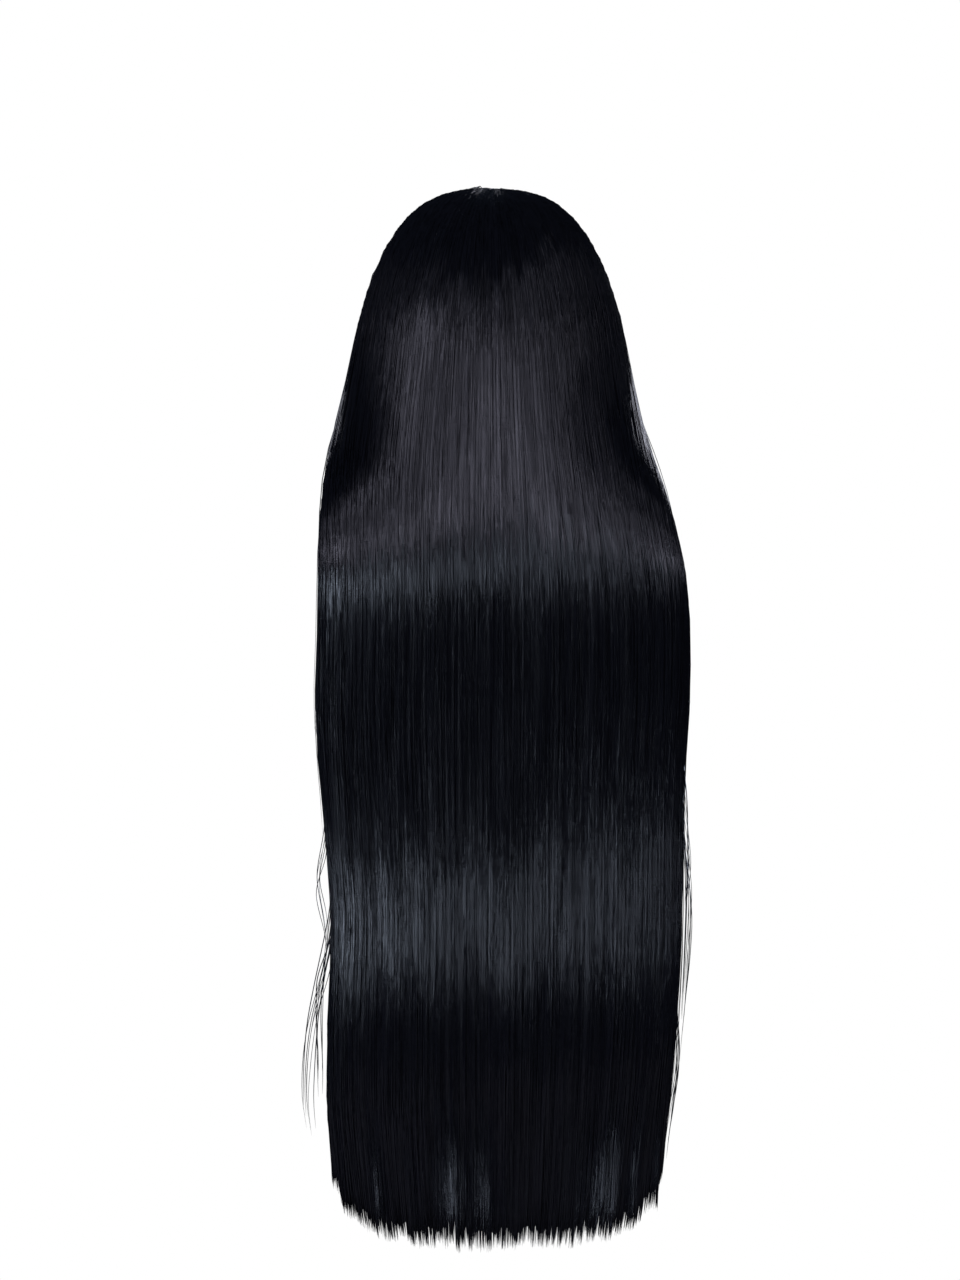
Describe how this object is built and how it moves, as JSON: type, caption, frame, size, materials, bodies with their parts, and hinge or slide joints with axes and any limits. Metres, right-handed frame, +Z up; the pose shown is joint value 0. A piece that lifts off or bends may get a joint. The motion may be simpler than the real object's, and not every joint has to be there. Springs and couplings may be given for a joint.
{
  "type": "long straight wig",
  "caption": "Long straight black wig: a thin open net cap with centre-parted hair that falls behind the shoulders to a soft rounded hem.",
  "frame": {"origin": "inside of the cap at the crown, where the top of the head touches it", "axes": "+Z up the wearer's head, -Y the way the face looks, +X towards the wearer's left"},
  "size_m": [0.2795, 0.2181, 0.8007],
  "materials": {
    "hair": "glossy straight black fibre",
    "cap_net": "matt fine stretch net"
  },
  "bodies": {
    "root": {"cap": "cap_net", "top_hair": "hair", "nape_hair": "hair", "under_hair_left": "hair", "under_hair_right": "hair"}
  },
  "joints": []
}
